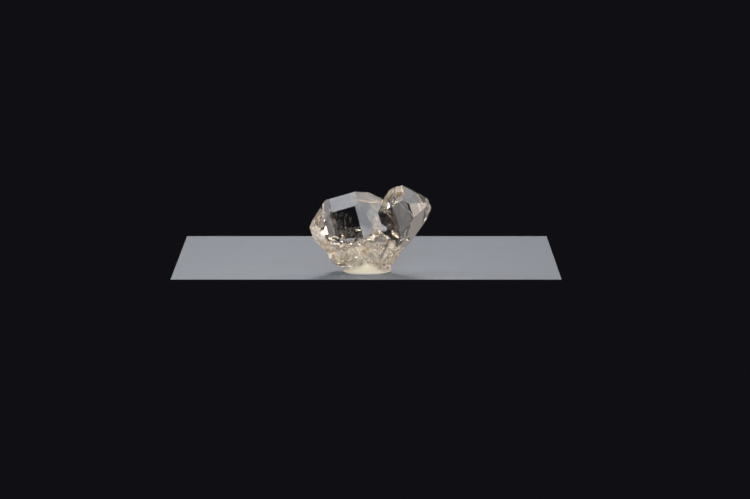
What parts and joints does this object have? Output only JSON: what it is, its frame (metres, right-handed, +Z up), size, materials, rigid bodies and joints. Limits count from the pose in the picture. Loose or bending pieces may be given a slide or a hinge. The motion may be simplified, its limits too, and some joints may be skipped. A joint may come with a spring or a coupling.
{
  "type": "herkimer diamond",
  "caption": "Clear double-ended quartz crystals grown together on a broken root, held upright by a small pressed pad of putty with a flat underside.",
  "frame": {"origin": "middle of the object's box, on the flat underside of the putty", "axes": "+Z up, +X to the right and -Y to the front as the picture sees it"},
  "size_m": [0.0157, 0.0086, 0.0116],
  "materials": {
    "clear_quartz": "clear, with natural crystal faces, veils and broken surfaces",
    "putty": "matt, pressed by hand"
  },
  "bodies": {
    "root": {"quartz_crystals": "clear_quartz", "putty": "putty"}
  },
  "joints": []
}
